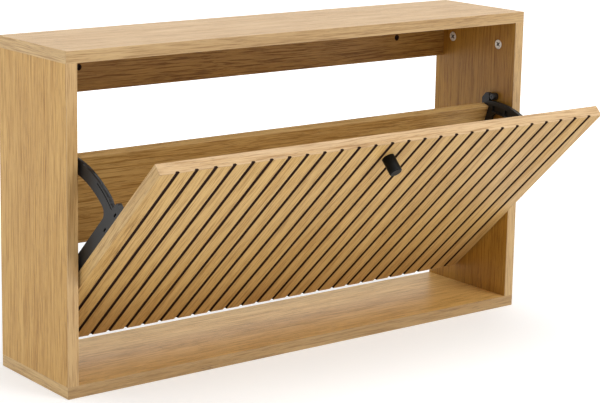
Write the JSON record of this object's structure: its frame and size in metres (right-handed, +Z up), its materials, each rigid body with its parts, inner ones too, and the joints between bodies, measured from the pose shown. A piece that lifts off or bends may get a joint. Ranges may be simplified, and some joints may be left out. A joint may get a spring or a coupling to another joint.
{
  "type": "shoe cabinet",
  "caption": "Low oak-finish shoe cabinet: an open-backed board case whose upright-grooved flap with a black knob tilts out on side brackets, carrying a sloping back board.",
  "frame": {"origin": "centre of the case's underside, on the floor, midway between its front and back", "axes": "+X to the viewer's right along the width, -Y out of the front, towards which the flap tilts, +Z up"},
  "size_m": [0.784, 0.3535, 0.45],
  "materials": {
    "oak_board": "satin oak veneer",
    "oak_band": "satin oak edge banding",
    "beech": "raw turned beech",
    "black_plastic": "fine moulded grain",
    "knob_black": "satin black powder coat",
    "black_steel": "blackened steel",
    "zinc": "bright zinc die casting",
    "zinc_steel": "zinc-plated steel"
  },
  "bodies": {
    "case": {"top_panel": "oak_board", "bottom_panel": "oak_board", "left_side_panel": "oak_board", "right_side_panel": "oak_board", "wall_rail": "oak_board", "top_front_band": "oak_band", "bottom_front_band": "oak_band", "left_front_band": "oak_band", "right_front_band": "oak_band", "case_end_bands": "oak_band", "corner_cam_locks": "zinc", "corner_cam_bolts": "zinc_steel", "corner_dowels": "beech", "corner_screws": "zinc_steel", "rail_cam_locks": "zinc", "rail_cam_bolts": "zinc_steel", "rail_dowels": "beech", "left_pivot_pin": "black_plastic", "right_pivot_pin": "black_plastic", "left_stop_peg": "black_plastic", "right_stop_peg": "black_plastic", "stop_peg_screws": "black_steel"},
    "flap_unit": {"flap_panel": "oak_board", "flap_top_band": "oak_band", "flap_bottom_band": "oak_band", "flap_side_bands": "oak_band", "knob": "knob_black", "knob_screw": "zinc_steel", "left_bracket": "black_plastic", "right_bracket": "black_plastic", "bracket_screws": "zinc_steel", "compartment_back": "oak_board", "compartment_back_bands": "oak_band", "back_board_screws": "zinc_steel"}
  },
  "joints": [
    {"name": "flap_tilt", "type": "hinge", "parent": "case", "child": "flap_unit", "pos_m": [0, -0.0505, 0.1625], "axis": [-1, 0, 0], "range_deg": [0, 45.7]}
  ]
}
